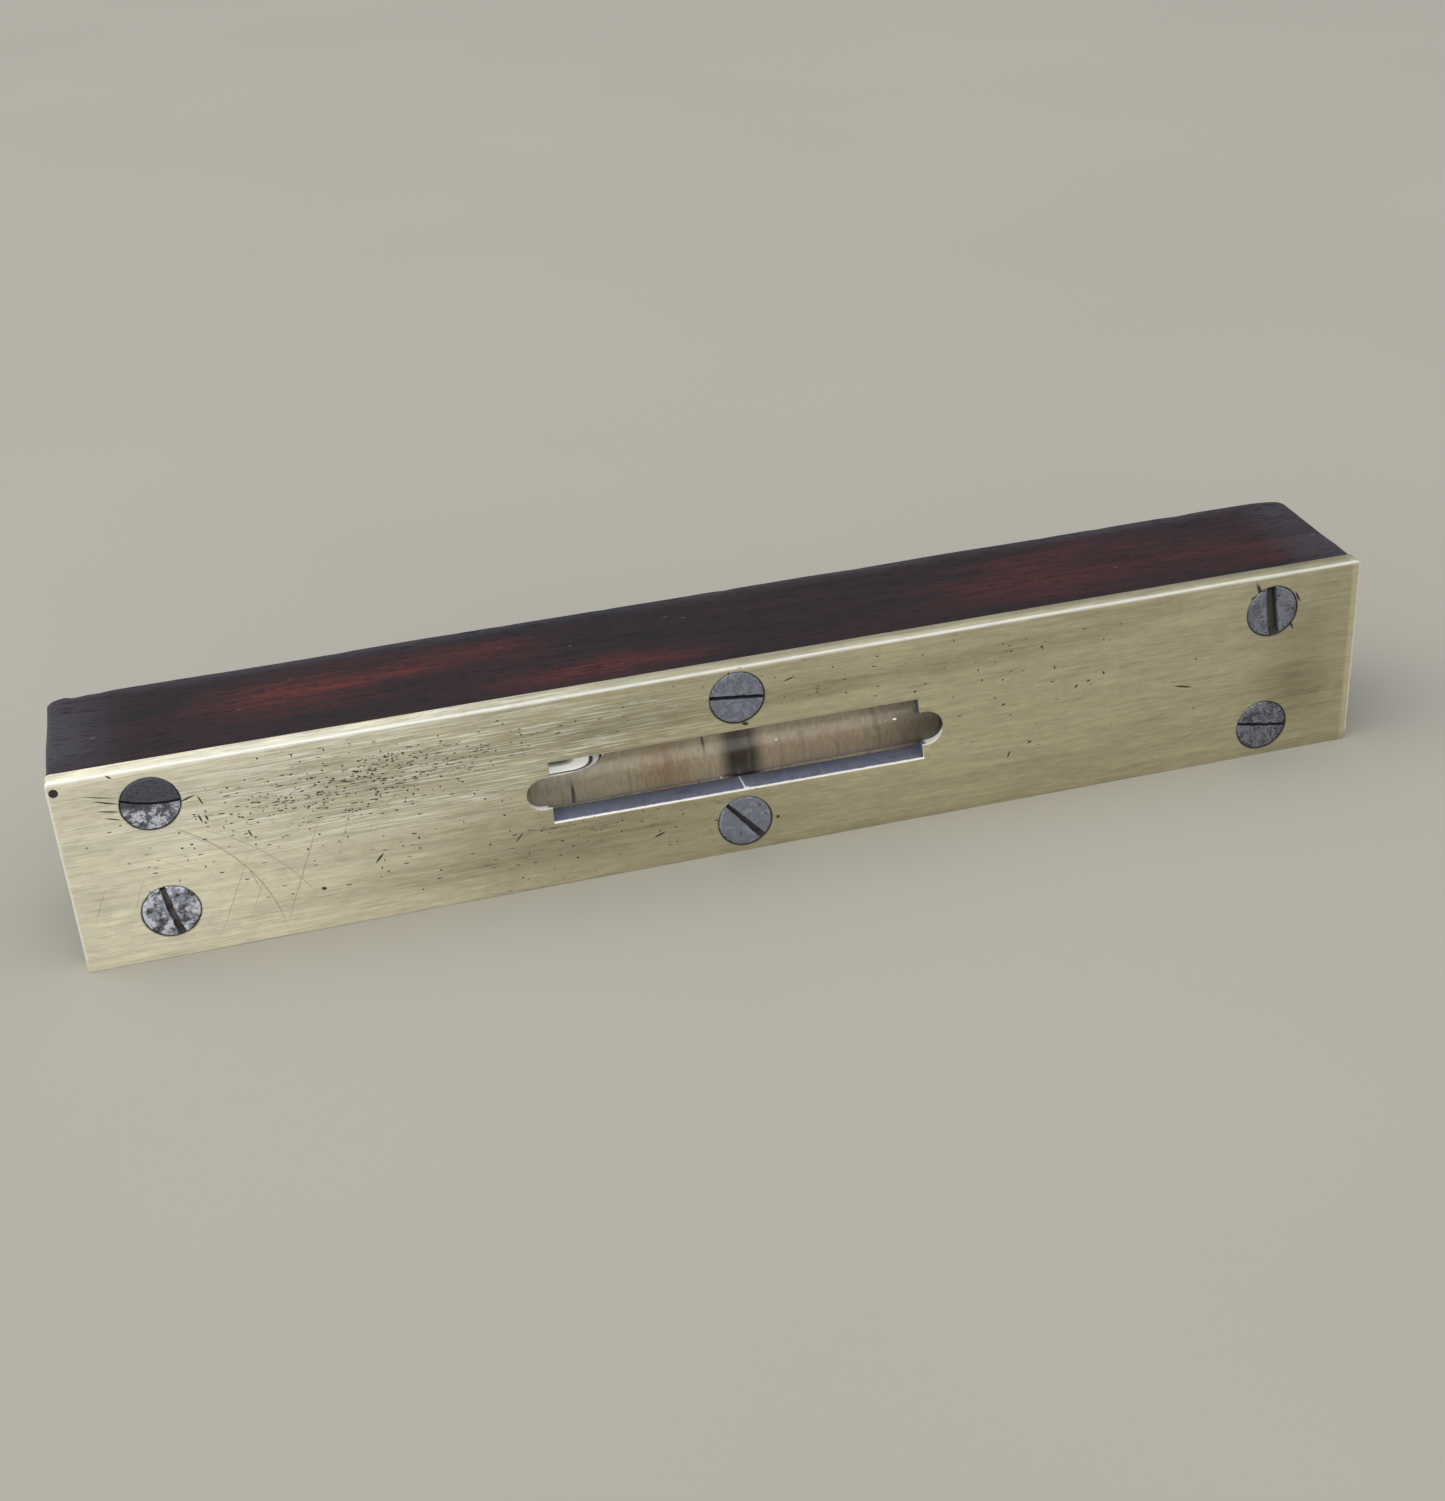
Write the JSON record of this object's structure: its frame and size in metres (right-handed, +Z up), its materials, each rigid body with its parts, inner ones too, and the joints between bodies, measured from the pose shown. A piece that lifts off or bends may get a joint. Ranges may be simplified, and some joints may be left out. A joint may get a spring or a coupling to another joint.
{
  "type": "spirit level",
  "caption": "Small antique spirit level: dark rosewood stock, brass top plate held by slotted wood screws, and a glass vial seen through a bevelled, round-ended window.",
  "frame": {"origin": "middle of the side that the level lies on, at the height of the bench", "axes": "+X along the level, +Y from the brass top plate towards the sole, +Z up from the side that it lies on"},
  "size_m": [0.203, 0.028, 0.032],
  "materials": {
    "rosewood": "oiled, hand-worn",
    "brass": "brushed lengthwise, tarnished and scratched",
    "screw_steel": "darkened, with rust in the slots",
    "brad_iron": "blackened",
    "vial_glass": "clear, old",
    "spirit": "clear liquid, slightly yellowed",
    "air": "clear",
    "plaster": "browned, matte"
  },
  "bodies": {
    "level": {"stock": "rosewood", "top_plate": "brass", "screw_left_upper": "screw_steel", "screw_left_lower": "screw_steel", "screw_middle_upper": "screw_steel", "screw_middle_lower": "screw_steel", "screw_right_upper": "screw_steel", "screw_right_lower": "screw_steel", "locating_brad": "brad_iron", "vial_tube": "vial_glass", "vial_end_seal": "vial_glass", "spirit": "spirit", "vial_bed_left": "plaster", "vial_bed_right": "plaster"},
    "bubble": {"bubble": "air"}
  },
  "joints": [
    {"name": "bubble_run", "type": "slide", "parent": "level", "child": "bubble", "axis": [1, 0, 0], "range_m": [0, 0.0534]}
  ]
}
